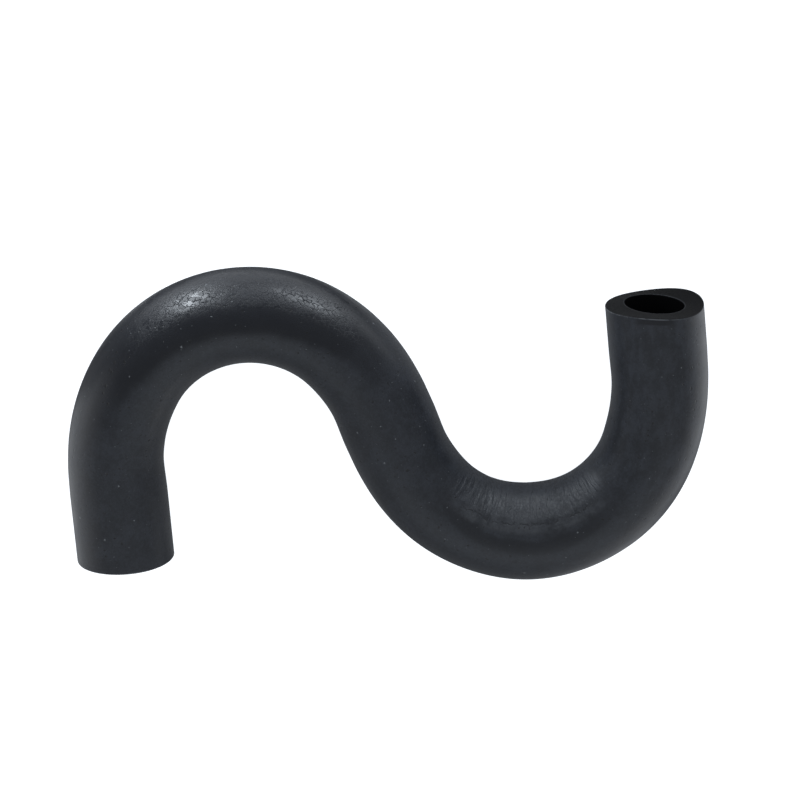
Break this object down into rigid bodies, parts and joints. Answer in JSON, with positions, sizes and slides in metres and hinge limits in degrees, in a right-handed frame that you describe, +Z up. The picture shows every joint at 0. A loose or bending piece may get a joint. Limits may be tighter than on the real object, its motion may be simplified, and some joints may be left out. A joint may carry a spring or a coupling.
{
  "type": "fuel hose",
  "caption": "Moulded rubber fuel hose with two opposite return bends in one plane and square cut open ends for push-on pipe stubs.",
  "frame": {"origin": "Middle of the hose's bounding box in plan, on the plane that it lies on.", "axes": "+X runs from the inlet leg to the outlet leg, along the hose's longest side. +Y is the way that the inlet leg runs into the hose and the outlet leg runs out of it. +Z is up, square to the plane of the two bends."},
  "size_m": [0.1064, 0.0574, 0.016],
  "materials": {
    "hose_rubber": "satin black rubber with a finely crazed skin"
  },
  "bodies": {
    "root": {"fuel_hose": "hose_rubber"}
  },
  "joints": []
}
